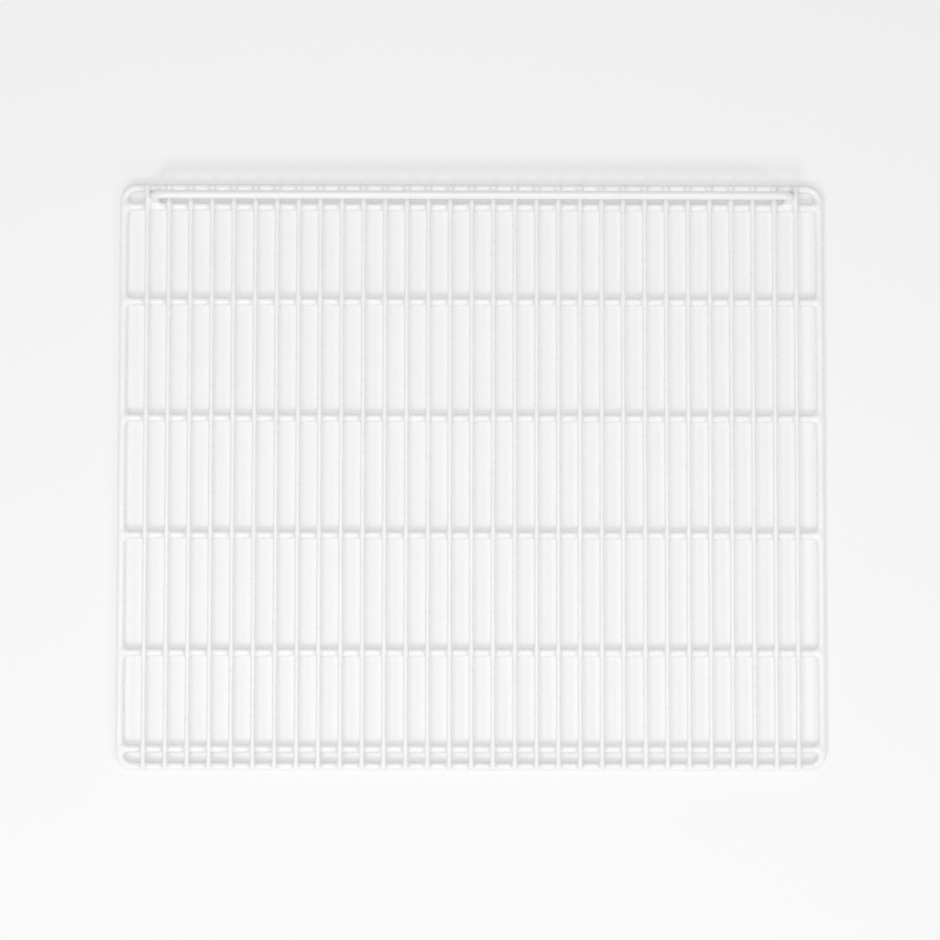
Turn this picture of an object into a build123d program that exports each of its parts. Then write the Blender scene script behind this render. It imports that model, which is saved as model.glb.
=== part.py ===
"""Coated wire shelf of a reach-in refrigerator, in millimetres.

A heavy rod is bent into a rounded rectangle. Cross rods are butt-welded between its two sides, and a deck of
thinner wires lies over the cross rods and over the front and rear of the frame. A stop for the goods is bent
from one more rod and stands behind the rear cross rod. Every piece is steel in a bonded white coat, and its
diameter is taken over the coat.

+X runs along the width, +Y towards the rear and +Z up. The origin is under the middle of the shelf, on the
plane that it rests on.
"""

import os

from build123d import *

# Overall size, over the frame's coat.
shelf_width = 610.0
shelf_depth = 506.0

# Rod and wire diameters, over the coat.
frame_rod_diameter = 7.2
cross_rod_diameter = 6.8
deck_wire_diameter = 4.0
stop_rod_diameter = 7.2

# Welds.
weld_set_down = 0.4  # how deep a wire or a leg of the stop is pressed into the rod that it crosses
butt_weld_depth = 1.2  # how deep the end of a cross rod is pressed into the side of the frame

# Frame.
corner_bend_radius = 12.0  # at the rod's centreline

# Cross rods.
front_rod_gap = 7.8  # between the frame's front rod and the front cross rod
cross_rod_bay = 101.0  # between neighbouring inner cross rods, centre to centre
shortest_end_bay = 40.0  # the least that is left between an end cross rod and the inner one beside it

# Deck wires.
deck_wire_pitch = 18.7
wire_end_setback = 2.0  # from the frame's outer edge to the end of a wire
wire_end_round = 1.4

# Rear stop.
stop_opening = 13.5  # from the top of the deck to the underside of the rail
stop_bend_radius = 10.0  # at the rod's centreline
stop_frame_gap = 2.2  # between a leg and the frame's rear rod
stop_wire_gap = 1.2  # between a leg and the outermost deck wire
stop_foot_lift = 1.0  # from the underside of the cross rods to the end of a leg
stop_foot_round = 1.6

# Radii.
frame_radius = frame_rod_diameter / 2
cross_radius = cross_rod_diameter / 2
wire_radius = deck_wire_diameter / 2
stop_radius = stop_rod_diameter / 2

# Heights. The tops of the frame and of the cross rods are level, because the deck wires lie on both.
rod_top = max(frame_rod_diameter, cross_rod_diameter)
frame_height = rod_top - frame_radius
cross_height = rod_top - cross_radius
wire_height = rod_top + wire_radius - weld_set_down
deck_top = wire_height + wire_radius
stop_height = deck_top + stop_opening + stop_radius
stop_foot = cross_height - cross_radius + stop_foot_lift

# The frame's centreline.
frame_half_width = shelf_width / 2 - frame_radius
frame_half_depth = shelf_depth / 2 - frame_radius

# Places along Y. The legs of the stop stand between the frame's rear rod and the rear cross rod.
stop_y = frame_half_depth - frame_radius - stop_frame_gap - stop_radius
rear_rod_y = stop_y - stop_radius - cross_radius + weld_set_down
front_rod_y = -frame_half_depth + frame_radius + front_rod_gap + cross_radius
inner_bays = int((rear_rod_y - front_rod_y - 2 * shortest_end_bay) // cross_rod_bay)
first_inner_y = (front_rod_y + rear_rod_y - inner_bays * cross_rod_bay) / 2
inner_rod_ys = [first_inner_y + n * cross_rod_bay for n in range(inner_bays + 1)]

# Places along X. As many deck wires as the pitch allows are centred between the frame's sides.
inside_width = shelf_width - 2 * frame_rod_diameter
wire_count = int(inside_width // deck_wire_pitch)
last_wire_x = (wire_count - 1) * deck_wire_pitch / 2
wire_xs = [n * deck_wire_pitch - last_wire_x for n in range(wire_count)]
leg_x = last_wire_x - wire_radius - stop_wire_gap - stop_radius


def straight_rod(start, end, diameter):
    """A round rod with square ends from one point to another."""
    line = Line(start, end)
    return extrude(Plane(origin=start, z_dir=line % 0) * Circle(diameter / 2), amount=line.length)


def bent_rod(line, diameter):
    """A round rod that follows a line of straight runs and bends."""
    return sweep(Plane(origin=line @ 0, z_dir=line % 0) * Circle(diameter / 2), path=line)


def make_frame():
    """The rounded rectangle, closed by a butt weld, before the deck wires are pressed into it."""
    x, y = frame_half_width, frame_half_depth
    corners = [(-x, y, frame_height), (x, y, frame_height), (x, -y, frame_height), (-x, -y, frame_height)]
    return bent_rod(FilletPolyline(*corners, radius=corner_bend_radius, close=True), frame_rod_diameter)


def make_cross_rod(y):
    """One rod from side to side, long enough for both of its ends to be pressed into the frame."""
    half_length = frame_half_width - frame_radius + butt_weld_depth
    return straight_rod((-half_length, y, cross_height), (half_length, y, cross_height), cross_rod_diameter)


def make_deck_wire(x):
    """One wire from front to rear, with its cut ends rounded by the coat."""
    half_length = shelf_depth / 2 - wire_end_setback
    wire = straight_rod((x, -half_length, wire_height), (x, half_length, wire_height), deck_wire_diameter)
    return fillet(wire.faces().filter_by(Plane.XZ).edges(), min(wire_end_round, 0.9 * wire_radius))


def make_stop():
    """The rail along the rear, with both of its ends bent down into legs."""
    left_leg = [(-leg_x, stop_y, stop_foot), (-leg_x, stop_y, stop_height)]
    right_leg = [(leg_x, stop_y, stop_height), (leg_x, stop_y, stop_foot)]
    stop = bent_rod(FilletPolyline(*left_leg, *right_leg, radius=stop_bend_radius), stop_rod_diameter)
    return fillet(stop.faces().filter_by(Plane.XY).edges(), min(stop_foot_round, 0.9 * stop_radius))


def write(name, shape):
    """One sub-part in a STEP file of its own."""
    shape.label = name
    export_step(shape, f"parts/{name}.step")


frame = make_frame()
rear_stop = make_stop()
deck_wires = [make_deck_wire(x) for x in wire_xs]

os.makedirs("parts", exist_ok=True)
write("frame_rod", frame - deck_wires)
write("front_cross_rod", make_cross_rod(front_rod_y) - [frame, *deck_wires])
for number, y in enumerate(inner_rod_ys, 1):
    write(f"inner_cross_rod_{number}", make_cross_rod(y) - [frame, *deck_wires])
write("rear_cross_rod", make_cross_rod(rear_rod_y) - [frame, *deck_wires, rear_stop])
for number, wire in enumerate(deck_wires, 1):
    write(f"deck_wire_{number:02d}", wire)
write("rear_stop", rear_stop)
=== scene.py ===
"""Looks of the coated wire shelf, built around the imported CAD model.

Every rod and wire is skinned again as one coated body. The coat runs together in small bowls wherever two
of them are welded, so the skin is the level surface of the rods' distances, blended where they come close.
Each piece is the part of that surface that lies nearest to its own rod, and it runs on a little under its
neighbour. Lengths are in millimetres until a mesh is written.
"""

import math

import bpy
import numpy as np
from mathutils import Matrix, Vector


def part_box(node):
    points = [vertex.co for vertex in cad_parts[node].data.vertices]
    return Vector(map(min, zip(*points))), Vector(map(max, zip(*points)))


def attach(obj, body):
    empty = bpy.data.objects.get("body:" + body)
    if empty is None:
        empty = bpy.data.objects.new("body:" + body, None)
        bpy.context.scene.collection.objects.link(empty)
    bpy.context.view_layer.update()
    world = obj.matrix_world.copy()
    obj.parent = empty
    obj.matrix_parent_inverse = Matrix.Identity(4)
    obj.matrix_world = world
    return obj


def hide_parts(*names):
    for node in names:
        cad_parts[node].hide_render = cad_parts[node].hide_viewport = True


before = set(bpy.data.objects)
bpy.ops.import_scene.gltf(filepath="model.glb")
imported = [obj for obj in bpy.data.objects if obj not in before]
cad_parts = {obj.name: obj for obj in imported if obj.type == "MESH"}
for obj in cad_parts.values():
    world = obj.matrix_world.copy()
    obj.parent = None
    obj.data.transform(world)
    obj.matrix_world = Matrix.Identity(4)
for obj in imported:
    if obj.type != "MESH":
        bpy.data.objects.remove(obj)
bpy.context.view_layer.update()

MM = 0.001

# Bends that the CAD boxes don't give, at the rod's centreline.
CORNER_BEND = 12.0
STOP_BEND = 10.0

# How far apart two surfaces may be and still draw the coat together.
WELD_REACH = 4.6
LEG_REACH = 4.6

# A piece runs on under its neighbour, sinking as it goes, so that no seam opens between the two.
OVERLAP = 1.6
SINK = 0.45

# The coat is up to this much thinner in places.
COAT_THINNING = 0.09

# How far up the straight of a leg is measured past the start of its bend.
LEG_RUN_ON = 0.3

# Rounding of the cut ends.
WIRE_END_ROUND = 1.4
CROSS_ROD_END_ROUND = 0.5
FOOT_ROUND = 1.6

# The butt weld that closes the frame's rod, left of the middle of its rear run.
CLOSING_WELD_X = -7.0
CLOSING_WELD_HALF_WIDTH = 2.6
CLOSING_WELD_SWELL = 0.35
CLOSING_WELD_RINGS = (-6, -4, -2, 0, 2, 4, 6)

# Vertices around a rod.
SIDES_ROD = 40
SIDES_WIRE = 32

# Rings around each quarter turn of a bend, apart from those where its straights begin.
BEND_RINGS = 8

# Places of rings beside a crossing, and back from a rounded end. A place beside a crossing is left out where
# it would come closer to the last one than the shortest stretch.
CROSSING = (0.0, 0.6, 1.2, 1.75, 2.3, 2.8, 3.3, 3.8, 4.3, 4.9, 5.7, 7.0)
ROUNDED_END = (0.03, 0.12, 0.27, 0.45, 0.7, 0.95, 1.25, 1.6, 2.0, 2.5)
SHORTEST_STRETCH = 0.25

# The longest stretch between two rings.
WIRE_STRETCH = 30.0
CROSS_ROD_STRETCH = 6.0
FRAME_END_STRETCH = 6.0
FRAME_SIDE_STRETCH = 20.0
RAIL_STRETCH = 12.0
LEG_STRETCH = 0.9

# How far back from a cut end the rings follow its rounding, and the least room between those and the others.
END_LENGTH = 2.0
END_ROOM = 0.1

# Looking outwards for the skin: the furthest place, the steps out to it, and the halvings of the last step.
FURTHEST_SKIN = 9.0
FURTHEST_END = 6.0
STEPS_OUT = 36
HALVINGS = 14

# An edge that turns by more than this stays sharp, in degrees.
SHARP_EDGE = 55

# Room around each strip of the map for baked textures, as a share of the strip.
MAP_MARGIN = 0.02


# --------------------------------------------------------------------------------------------------
# Places and radii of the rods, from the CAD boxes
# --------------------------------------------------------------------------------------------------

def box_mm(node):
    """A CAD node's lowest and highest corners, in millimetres."""
    low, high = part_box(node)
    return np.array(low) / MM, np.array(high) / MM


frame_low, frame_high = box_mm("frame_rod")
FRAME_R = (frame_high[2] - frame_low[2]) / 2
FRAME_Z = (frame_high[2] + frame_low[2]) / 2
FRAME_HALF_X = frame_high[0] - FRAME_R
FRAME_HALF_Y = frame_high[1] - FRAME_R

cross_names = [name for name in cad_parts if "cross_rod" in name]
cross_boxes = {name: box_mm(name) for name in cross_names}
CROSS_Y = {name: (low[1] + high[1]) / 2 for name, (low, high) in cross_boxes.items()}
cross_low, cross_high = cross_boxes["front_cross_rod"]
CROSS_R = (cross_high[1] - cross_low[1]) / 2
CROSS_Z = cross_low[2] + CROSS_R
CROSS_HALF_X = cross_high[0]

wire_names = sorted(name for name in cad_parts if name.startswith("deck_wire"))
wire_boxes = {name: box_mm(name) for name in wire_names}
WIRE_X = {name: (low[0] + high[0]) / 2 for name, (low, high) in wire_boxes.items()}
wire_low, wire_high = wire_boxes[wire_names[0]]
WIRE_R = (wire_high[2] - wire_low[2]) / 2
WIRE_Z = (wire_high[2] + wire_low[2]) / 2
WIRE_HALF_Y = wire_high[1]

stop_low, stop_high = box_mm("rear_stop")
STOP_R = (stop_high[1] - stop_low[1]) / 2
STOP_Y = (stop_high[1] + stop_low[1]) / 2
STOP_Z = stop_high[2] - STOP_R
STOP_HALF_X = stop_high[0] - STOP_R
FOOT_Z = stop_low[2]

cross_ys = np.array(sorted(CROSS_Y.values()))
wire_xs = np.array(sorted(WIRE_X.values()))


# --------------------------------------------------------------------------------------------------
# Distances from a point to each kind of rod. Points are arrays whose last axis is x, y, z.
# --------------------------------------------------------------------------------------------------

def rounded_end_rod(across, along, radius, half_length, rounding):
    """Distance to a straight rod with rounded ends, from the distance to its axis and the place along it."""
    side = across - radius + rounding
    end = np.abs(along) - half_length + rounding
    outside = np.hypot(np.maximum(side, 0), np.maximum(end, 0))
    return outside + np.minimum(np.maximum(side, end), 0) - rounding


def frame_distance(p):
    """The bent rod around the shelf, with a slight swelling at its closing weld."""
    past_x = np.abs(p[..., 0]) - FRAME_HALF_X + CORNER_BEND
    past_y = np.abs(p[..., 1]) - FRAME_HALF_Y + CORNER_BEND
    in_corner = np.hypot(np.maximum(past_x, 0), np.maximum(past_y, 0))
    flat = in_corner + np.minimum(np.maximum(past_x, past_y), 0) - CORNER_BEND
    from_weld = (p[..., 0] - CLOSING_WELD_X) / CLOSING_WELD_HALF_WIDTH
    above = np.clip((p[..., 2] - FRAME_Z) / FRAME_R, 0, 1)
    swell = CLOSING_WELD_SWELL * np.exp(-from_weld ** 2) * above * (p[..., 1] > 0)
    return np.hypot(flat, p[..., 2] - FRAME_Z) - FRAME_R - swell


def cross_rod_distance(p):
    """The nearest cross rod."""
    to_rods = np.abs(p[..., 1, None] - cross_ys)
    across = np.hypot(to_rods.min(-1), p[..., 2] - CROSS_Z)
    return rounded_end_rod(across, p[..., 0], CROSS_R, CROSS_HALF_X, CROSS_ROD_END_ROUND)


def wire_distance(p):
    """The nearest deck wire."""
    pitch = wire_xs[1] - wire_xs[0]
    nearest = np.clip(np.rint((p[..., 0] - wire_xs[0]) / pitch), 0, len(wire_xs) - 1)
    across = np.hypot(p[..., 0] - wire_xs[0] - nearest * pitch, p[..., 2] - WIRE_Z)
    return rounded_end_rod(across, p[..., 1], WIRE_R, WIRE_HALF_Y, WIRE_END_ROUND)


def stop_distance(p):
    """The rear stop: a leg and half of the rail, mirrored."""
    x, z = np.abs(p[..., 0]), p[..., 2]
    bend_x, bend_z = STOP_HALF_X - STOP_BEND, STOP_Z - STOP_BEND
    to_rail = np.hypot(np.maximum(x - bend_x, 0), z - STOP_Z)
    to_bend = np.abs(np.hypot(x - bend_x, z - bend_z) - STOP_BEND)
    in_bend = (x > bend_x) & (z > bend_z)
    path = np.where(in_bend, to_bend, to_rail)
    curve = np.hypot(path, p[..., 1] - STOP_Y) - STOP_R
    leg_middle = (FOOT_Z + bend_z) / 2
    across = np.hypot(x - STOP_HALF_X, p[..., 1] - STOP_Y)
    along = np.where(z < leg_middle, z - leg_middle, 0)
    leg = rounded_end_rod(across, along, STOP_R, leg_middle - FOOT_Z, FOOT_ROUND)
    leg = np.maximum(leg, z - bend_z - LEG_RUN_ON)
    return np.minimum(curve, leg)


DISTANCES = {
    "frame": frame_distance,
    "cross": cross_rod_distance,
    "wire": wire_distance,
    "stop": stop_distance,
}


def run_together(a, b, reach):
    """The lower of two distances, with the coat filling the hollow where both are low."""
    share = np.maximum(reach - np.abs(a - b), 0) / reach
    return np.minimum(a, b) - share * share * reach / 4


def thinning(p):
    """Slow waves in the coat's thickness, from 0 to 1. Their rates, in radians a millimetre, share no period
    within the shelf's length, so that no pattern shows."""
    x, y, z = p[..., 0], p[..., 1], p[..., 2]
    waves = np.sin(0.131 * x + 0.23 * z + 0.4) * np.sin(0.117 * y - 0.19 * z + 1.1)
    waves = waves + 0.6 * np.sin(0.283 * x - 0.307 * y + 0.41 * z) + 0.4 * np.sin(0.52 * (x + y) + 2.3)
    return 0.5 + waves / 4


def outside_of_piece(p, kind):
    """Above zero outside the coat, and far enough past the line where a neighbour's rod is the nearer."""
    near = {name: distance(p) for name, distance in DISTANCES.items()}
    coat = run_together(near["frame"], near["cross"], WELD_REACH)
    coat = run_together(coat, near["wire"], WELD_REACH)
    coat = run_together(coat, near["stop"], LEG_REACH)
    coat = np.maximum(coat, -p[..., 2]) + COAT_THINNING * thinning(p)
    others = np.min([distance for name, distance in near.items() if name != kind], axis=0)
    past = near[kind] - others
    return np.maximum(coat + SINK * np.maximum(past, 0), past - OVERLAP)


# --------------------------------------------------------------------------------------------------
# Skins
# --------------------------------------------------------------------------------------------------

def skin_radii(centres, directions, kind, furthest=FURTHEST_SKIN):
    """How far the skin is from each centre along each direction: marched outwards, then halved down."""
    def at(radius):
        return outside_of_piece(centres[:, None, :] + directions * radius[..., None], kind)

    low = np.zeros(directions.shape[:2])
    high = np.full_like(low, furthest)
    found = np.zeros(low.shape, bool)
    for step in range(1, STEPS_OUT + 1):
        radius = np.full_like(low, furthest * step / STEPS_OUT)
        crossed = (at(radius) > 0) & ~found
        high[crossed] = radius[crossed]
        found |= crossed
        low[~found] = radius[~found]
    for _ in range(HALVINGS):
        middle = (low + high) / 2
        out = at(middle) > 0
        high = np.where(out, middle, high)
        low = np.where(out, low, middle)
    return (low + high) / 2


def strip_places(rings, closed):
    """Where each stretch between two rings lies on a square map of strips side by side: its strip's number,
    the number of strips, and the heights of its two ends, from 0 to 1. The fans at open ends count too, as an
    eighth of the girth each."""
    centres = rings.mean(1)
    girth = 2 * math.pi * np.linalg.norm(rings - centres[:, None, :], axis=-1).mean()
    ahead = np.roll(centres, -1, axis=0) if closed else centres[1:]
    steps = np.linalg.norm(ahead - centres[:len(ahead)], axis=-1)
    if not closed:
        steps = np.concatenate([[girth / 8], steps, [girth / 8]])
    ends = np.concatenate([[0], np.cumsum(steps)])
    strips = max(1, round(math.sqrt(ends[-1] / girth)))
    strip = np.minimum(((ends[:-1] + ends[1:]) / 2 * strips / ends[-1]).astype(int), strips - 1)
    first = np.searchsorted(strip, np.arange(strips))
    last = np.searchsorted(strip, np.arange(strips), side="right")
    start, length = ends[first], ends[last] - ends[first]
    low = (ends[:-1] - start[strip]) / length[strip]
    high = (ends[1:] - start[strip]) / length[strip]
    return strip, strips, low, high


def add_strip_map(mesh, rings, closed):
    """A map for baked textures, with the rod's skin cut into even strips that fill a square."""
    sides = rings.shape[1]
    strip, strips, low, high = strip_places(rings, closed)
    edges = np.linspace(MAP_MARGIN, 1 - MAP_MARGIN, sides + 1)
    near, far = edges[:-1], edges[1:]
    low, high = (MAP_MARGIN + (1 - 2 * MAP_MARGIN) * v for v in (low, high))

    def corners(stretches, spots):
        across = np.stack([np.broadcast_to(u, (len(stretches), sides)) for u, _ in spots], axis=-1)
        across = (strip[stretches][:, None, None] + across) / strips
        heights = np.stack([v[stretches] for _, v in spots], axis=-1)
        up = np.broadcast_to(heights[:, None, :], across.shape)
        return np.stack([across, up], axis=-1)

    inner = np.arange(len(strip)) if closed else np.arange(1, len(strip) - 1)
    flat = [corners(inner, [(near, low), (near, high), (far, high), (far, low)]).ravel()]
    if not closed:
        middle = (near + far) / 2
        first = corners(np.array([0]), [(middle, low), (near, high), (far, high)])[0]
        last = corners(np.array([len(strip) - 1]), [(middle, high), (far, low), (near, low)])[0]
        flat.append(np.stack([first, last], axis=1).ravel())
    layer = mesh.uv_layers.new(name="OFBake")
    layer.uv.foreach_set("vector", np.concatenate(flat).astype(np.float32))


def ring_mesh(name, rings, closed, poles=()):
    """A mesh of quads through rings of points. An open run is closed at its ends by a fan to each pole."""
    count, sides = rings.shape[:2]
    points = rings.reshape(-1, 3)
    runs = count if closed else count - 1
    here = np.arange(runs)[:, None] * sides
    there = (np.arange(1, runs + 1) % count)[:, None] * sides
    side = np.arange(sides)[None, :]
    turn = (side + 1) % sides
    quads = np.stack([here + side, there + side, there + turn, here + turn], axis=-1).reshape(-1, 4)
    faces = quads.tolist()
    if not closed:
        last = (count - 1) * sides
        points = np.vstack([points, poles])
        for one in range(sides):
            following = (one + 1) % sides
            faces.append([len(points) - 2, one, following])
            faces.append([len(points) - 1, last + following, last + one])
    mesh = bpy.data.meshes.new(name)
    mesh.from_pydata((points * MM).tolist(), [], faces)
    add_strip_map(mesh, rings, closed)
    mesh.polygons.foreach_set("use_smooth", [True] * len(mesh.polygons))
    mesh.set_sharp_from_angle(angle=math.radians(SHARP_EDGE))
    mesh.update()
    return mesh


def add_piece(name, mesh, node, material):
    """One piece that stands for a CAD node and rides on the shelf."""
    piece = bpy.data.objects.new(name, mesh)
    bpy.context.scene.collection.objects.link(piece)
    mesh.materials.append(material)
    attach(piece, "root")
    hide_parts(node)


def around(first, second, sides):
    """Unit directions around a rod, from two across it, for each place along it. The first is also where the
    seam of the strip map lies, so it points down or inwards."""
    angles = np.linspace(0, 2 * math.pi, sides, endpoint=False)[None, :, None]
    return first[:, None, :] * np.cos(angles) + second[:, None, :] * np.sin(angles)


def bend_turns():
    """Angles of the rings around a quarter turn, in radians."""
    return np.linspace(0, math.pi / 2, BEND_RINGS + 2)[1:-1]


def places(start, end, centres, offsets, longest):
    """Places from start to end, close together around each centre and no more than longest apart."""
    chosen = {start, end}
    for centre in centres:
        chosen |= {centre + sign * offset for offset in offsets for sign in (-1, 1)}
    kept = [start]
    for place in sorted(chosen):
        gap = place - kept[-1]
        if gap < SHORTEST_STRETCH or place > end:
            continue
        extra = math.ceil(gap / longest) - 1
        kept += [kept[-1] + gap * n / (extra + 1) for n in range(1, extra + 1)]
        kept.append(place)
    kept[-1] = end
    return np.array(kept)


def end_of_axis(start, direction, kind):
    """How far the skin is from a point along a rod's own axis, for the pole of a cut end."""
    centre = np.array([start], float)
    return skin_radii(centre, np.array([[direction]], float), kind, FURTHEST_END)[0, 0]


def straight_skin(name, middle, axis, across, half_length, centres, kind, sides, longest):
    """A straight rod's mesh, with its ends wherever the coat ends along its axis."""
    axis, first, second = (np.array(v, float) for v in (axis, *across))
    middle = np.array(middle, float)
    inside = half_length - END_LENGTH
    reach_low = inside + end_of_axis(middle - axis * inside, -axis, kind)
    reach_high = inside + end_of_axis(middle + axis * inside, axis, kind)
    along = places(-inside, inside, centres, CROSSING, longest)
    low_end = [back - reach_low for back in ROUNDED_END if back < reach_low - inside - END_ROOM]
    high_end = [reach_high - back for back in ROUNDED_END if back < reach_high - inside - END_ROOM]
    along = np.concatenate([low_end, along, sorted(high_end)])
    spots = middle + along[:, None] * axis
    directions = around(np.tile(first, (len(along), 1)), np.tile(second, (len(along), 1)), sides)
    radii = skin_radii(spots, directions, kind)
    rings = spots[:, None, :] + directions * radii[..., None]
    poles = [middle - axis * reach_low, middle + axis * reach_high]
    return ring_mesh(name, rings, False, poles)


def deck_wire_mesh(name):
    """One deck wire, from front to rear."""
    rod_ys = [-FRAME_HALF_Y, *cross_ys, FRAME_HALF_Y]
    middle = (WIRE_X[name], 0, WIRE_Z)
    across = ((0, 0, -1), (1, 0, 0))
    rod = (name, middle, (0, 1, 0), across, WIRE_HALF_Y, rod_ys)
    return straight_skin(*rod, "wire", SIDES_WIRE, WIRE_STRETCH)


def cross_rod_mesh(name):
    """One cross rod, from left to right."""
    middle = (0, CROSS_Y[name], CROSS_Z)
    centres = [-FRAME_HALF_X, *wire_xs, FRAME_HALF_X]
    if name == "rear_cross_rod":
        centres = [*centres, -STOP_HALF_X, STOP_HALF_X]
    across = ((0, 0, -1), (0, -1, 0))
    rod = (name, middle, (1, 0, 0), across, CROSS_HALF_X, centres)
    return straight_skin(*rod, "cross", SIDES_ROD, CROSS_ROD_STRETCH)


def frame_mesh(name):
    """The closed rod around the shelf."""
    run_x, run_y = FRAME_HALF_X - CORNER_BEND, FRAME_HALF_Y - CORNER_BEND
    weld = [CLOSING_WELD_X + offset for offset in CLOSING_WELD_RINGS]
    xs = places(-run_x, run_x, wire_xs, CROSSING, FRAME_END_STRETCH)
    rear_xs = places(-run_x, run_x, [*wire_xs, *weld], CROSSING, FRAME_END_STRETCH)
    ys = places(-run_y, run_y, cross_ys, CROSSING, FRAME_SIDE_STRETCH)
    turns = bend_turns()
    spots, outward = [], []
    runs = [
        ((0, 1), (1, 0), rear_xs, FRAME_HALF_Y, (run_x, run_y)),
        ((1, 0), (0, -1), ys, FRAME_HALF_X, (run_x, -run_y)),
        ((0, -1), (-1, 0), xs, FRAME_HALF_Y, (-run_x, -run_y)),
        ((-1, 0), (0, 1), ys, FRAME_HALF_X, (-run_x, run_y)),
    ]
    for out, ahead, along, half, corner in runs:
        out, ahead = np.array(out, float), np.array(ahead, float)
        for place in along:
            spots.append(out * half + ahead * place)
            outward.append(out)
        for turn in turns:
            leaning = out * math.cos(turn) + ahead * math.sin(turn)
            spots.append(np.array(corner) + leaning * CORNER_BEND)
            outward.append(leaning)
    flat = np.array(spots)
    centres = np.column_stack([flat, np.full(len(flat), FRAME_Z)])
    down = np.tile((0.0, 0.0, -1.0), (len(flat), 1))
    inward = np.column_stack([-np.array(outward), np.zeros(len(flat))])
    directions = around(down, inward, SIDES_ROD)
    radii = skin_radii(centres, directions, "frame")
    return ring_mesh(name, centres[:, None, :] + directions * radii[..., None], True)


def stop_mesh(name):
    """The rear stop, from the left foot over the rail to the right foot."""
    low = FOOT_Z + END_LENGTH
    reach = end_of_axis((-STOP_HALF_X, STOP_Y, low), (0, 0, -1), "stop")
    bend_z, bend_x = STOP_Z - STOP_BEND, STOP_HALF_X - STOP_BEND
    tip = [low - reach + back for back in ROUNDED_END if back < reach - END_ROOM]
    zs = [*tip, *np.arange(low, bend_z, LEG_STRETCH), bend_z]
    xs = places(-bend_x, bend_x, [], CROSSING, RAIL_STRETCH)
    turns = bend_turns()
    spots = [(-STOP_HALF_X, z) for z in zs]
    leans = [(-1.0, 0.0)] * len(zs)
    for turn in turns:
        leans.append((-math.cos(turn), math.sin(turn)))
        spots.append((-bend_x - STOP_BEND * math.cos(turn), bend_z + STOP_BEND * math.sin(turn)))
    spots += [(x, STOP_Z) for x in xs]
    leans += [(0.0, 1.0)] * len(xs)
    for turn in turns[::-1]:
        leans.append((math.cos(turn), math.sin(turn)))
        spots.append((bend_x + STOP_BEND * math.cos(turn), bend_z + STOP_BEND * math.sin(turn)))
    spots += [(STOP_HALF_X, z) for z in reversed(zs)]
    leans += [(1.0, 0.0)] * len(zs)
    flat, lean = np.array(spots), np.array(leans)
    centres = np.column_stack([flat[:, 0], np.full(len(flat), STOP_Y), flat[:, 1]])
    inward = np.column_stack([-lean[:, 0], np.zeros(len(flat)), -lean[:, 1]])
    forward = np.tile((0.0, -1.0, 0.0), (len(flat), 1))
    directions = around(inward, forward, SIDES_ROD)
    radii = skin_radii(centres, directions, "stop")
    poles = [(-STOP_HALF_X, STOP_Y, low - reach), (STOP_HALF_X, STOP_Y, low - reach)]
    return ring_mesh(name, centres[:, None, :] + directions * radii[..., None], False, poles)


# --------------------------------------------------------------------------------------------------
# Materials
# --------------------------------------------------------------------------------------------------

# Light that the floor gives by itself.
FLOOR_GLOW = 0.2


def node(tree, kind, inputs=None, **settings):
    """A shader node with its settings and unlinked inputs."""
    made = tree.nodes.new(kind)
    for key, value in settings.items():
        setattr(made, key, value)
    for key, value in (inputs or {}).items():
        made.inputs[key].default_value = value
    return made


def white_coat(name, shift):
    """Glossy white coat: faintly uneven in tint and gloss, with a fine orange peel and slow ripples."""
    material = bpy.data.materials.new(name)
    material.use_nodes = True
    tree = material.node_tree
    link = tree.links.new
    shader = tree.nodes["Principled BSDF"]
    shader.inputs["IOR"].default_value = 1.5
    place = node(tree, "ShaderNodeTexCoord")
    moved = node(tree, "ShaderNodeMapping", {"Location": (shift, shift * 0.7, shift * 0.4)})
    link(place.outputs["Object"], moved.inputs["Vector"])

    tint = node(tree, "ShaderNodeTexNoise", {"Scale": 22.0, "Detail": 1.5})
    tints = node(tree, "ShaderNodeValToRGB")
    tints.color_ramp.elements[0].position = 0.3
    tints.color_ramp.elements[0].color = (0.85, 0.85, 0.843, 1)
    tints.color_ramp.elements[1].position = 0.7
    tints.color_ramp.elements[1].color = (0.877, 0.88, 0.88, 1)
    link(moved.outputs["Vector"], tint.inputs["Vector"])
    link(tint.outputs["Fac"], tints.inputs["Fac"])
    link(tints.outputs["Color"], shader.inputs["Base Color"])

    gloss = node(tree, "ShaderNodeTexNoise", {"Scale": 120.0, "Detail": 2.0})
    glosses = node(tree, "ShaderNodeMapRange", {"To Min": 0.24, "To Max": 0.32})
    link(moved.outputs["Vector"], gloss.inputs["Vector"])
    link(gloss.outputs["Fac"], glosses.inputs["Value"])
    link(glosses.outputs["Result"], shader.inputs["Roughness"])

    peel = node(tree, "ShaderNodeTexNoise", {"Scale": 650.0, "Detail": 1.0})
    ripple = node(tree, "ShaderNodeTexNoise", {"Scale": 90.0, "Detail": 1.0})
    fine = node(tree, "ShaderNodeBump", {"Strength": 0.06, "Distance": 0.00005})
    slow = node(tree, "ShaderNodeBump", {"Strength": 0.1, "Distance": 0.0002})
    for texture, bump in ((peel, fine), (ripple, slow)):
        link(moved.outputs["Vector"], texture.inputs["Vector"])
        link(texture.outputs["Fac"], bump.inputs["Height"])
    link(slow.outputs["Normal"], fine.inputs["Normal"])
    link(fine.outputs["Normal"], shader.inputs["Normal"])
    return material


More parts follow.
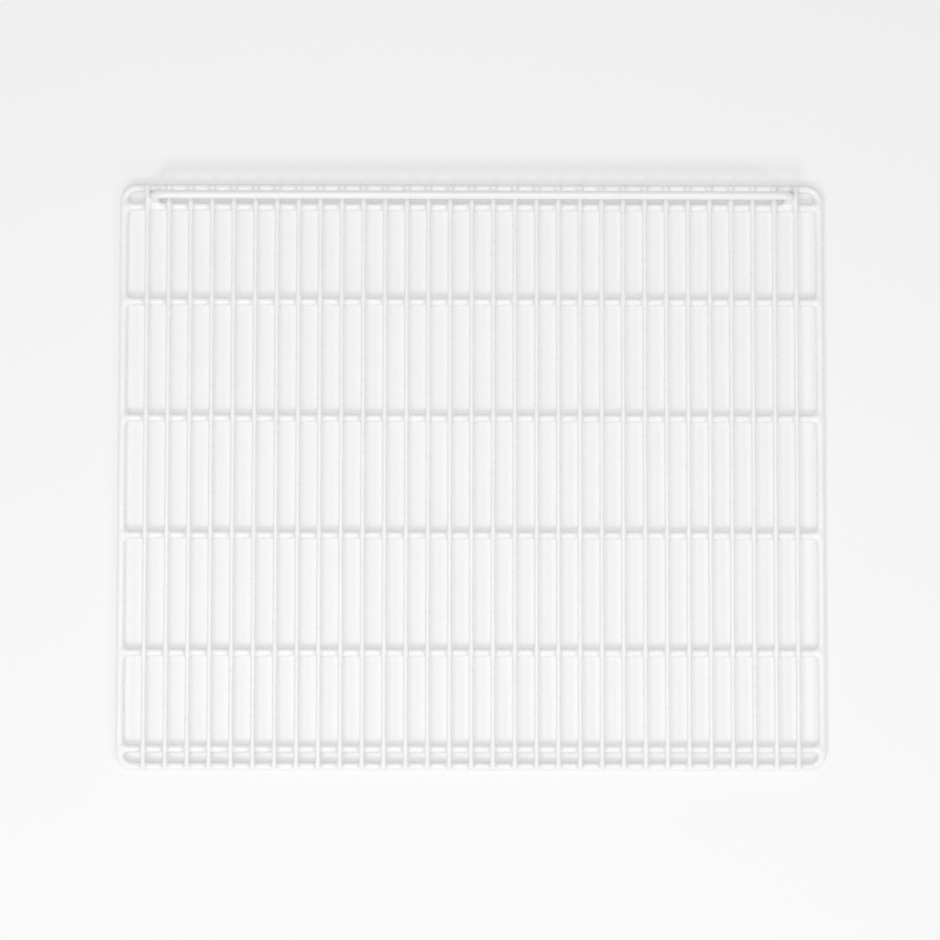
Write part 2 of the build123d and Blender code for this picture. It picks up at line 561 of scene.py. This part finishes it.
def floor_material():
    """Pale matt floor. The little light that it gives by itself is a guess, which keeps the shadows light."""
    material = bpy.data.materials.new("floor")
    material.use_nodes = True
    shader = material.node_tree.nodes["Principled BSDF"]
    shader.inputs["Base Color"].default_value = (0.7, 0.7, 0.7, 1)
    shader.inputs["Emission Color"].default_value = (1, 1, 1, 1)
    shader.inputs["Emission Strength"].default_value = FLOOR_GLOW
    shader.inputs["Roughness"].default_value = 0.9
    shader.inputs["Specular IOR Level"].default_value = 0.1
    return material


# --------------------------------------------------------------------------------------------------
# Pieces
# --------------------------------------------------------------------------------------------------

frame_coat = white_coat("frame_coat", 0.0)
cross_coat = white_coat("cross_rod_coat", 1.3)
wire_coat = white_coat("deck_wire_coat", 2.6)
stop_coat = white_coat("stop_coat", 3.9)

add_piece("coated_frame_rod", frame_mesh("coated_frame_rod"), "frame_rod", frame_coat)
for name in cross_names:
    add_piece("coated_" + name, cross_rod_mesh(name), name, cross_coat)
for name in wire_names:
    add_piece("coated_" + name, deck_wire_mesh(name), name, wire_coat)
add_piece("coated_rear_stop", stop_mesh("coated_rear_stop"), "rear_stop", stop_coat)


# --------------------------------------------------------------------------------------------------
# Floor, light and camera
# --------------------------------------------------------------------------------------------------

SOFTBOX_DISTANCE = 2.4
WORLD_STRENGTH = 0.58


def add_floor():
    """A wide plane that the shelf lies on."""
    half = 8.0
    mesh = bpy.data.meshes.new("floor")
    corners = [(-half, -half, 0), (half, -half, 0), (half, half, 0), (-half, half, 0)]
    mesh.from_pydata(corners, [], [(0, 1, 2, 3)])
    mesh.materials.append(floor_material())
    floor = bpy.data.objects.new("floor", mesh)
    bpy.context.scene.collection.objects.link(floor)


def add_softbox(name, azimuth, elevation, size, power):
    """A square light that faces the middle of the shelf. Azimuth 0 is in front and 90 is to the right. Angles
    are in degrees, the size in metres and the power in watts."""
    data = bpy.data.lights.new(name, "AREA")
    data.shape = "SQUARE"
    data.size = size
    data.energy = power
    lamp = bpy.data.objects.new(name, data)
    turn, rise = math.radians(azimuth), math.radians(elevation)
    away = Vector((math.sin(turn) * math.cos(rise), -math.cos(turn) * math.cos(rise), math.sin(rise)))
    lamp.location = away * SOFTBOX_DISTANCE
    lamp.rotation_mode = "QUATERNION"
    lamp.rotation_quaternion = (-away).to_track_quat("-Z", "Y")
    bpy.context.scene.collection.objects.link(lamp)


def add_world():
    """White surroundings."""
    world = bpy.data.worlds.new("studio")
    world.use_nodes = True
    world.node_tree.nodes["Background"].inputs["Color"].default_value = (1, 1, 1, 1)
    world.node_tree.nodes["Background"].inputs["Strength"].default_value = WORLD_STRENGTH
    bpy.context.scene.world = world


def add_camera():
    """Above the shelf and a little in front of its middle, looking down and slightly to the rear."""
    data = bpy.data.cameras.new("camera")
    data.sensor_width = 36.0
    data.lens = 97.85
    data.clip_start, data.clip_end = 0.05, 50.0
    camera = bpy.data.objects.new("camera", data)
    camera.location = (-0.0096, -0.1184, 2.2042)
    camera.rotation_euler = (math.radians(3.204), math.radians(-0.224), math.radians(0.086))
    bpy.context.scene.collection.objects.link(camera)
    bpy.context.scene.camera = camera


add_floor()
add_world()
add_softbox("overhead", 0, 89, 0.8, 11.2)
add_softbox("front_left", -22.5, 47, 0.6, 12.2)
add_softbox("front_right", 50, 38, 0.6, 6.8)
add_softbox("left", -90, 57, 0.8, 2.5)
add_camera()
bpy.context.scene.view_settings.view_transform = "Standard"
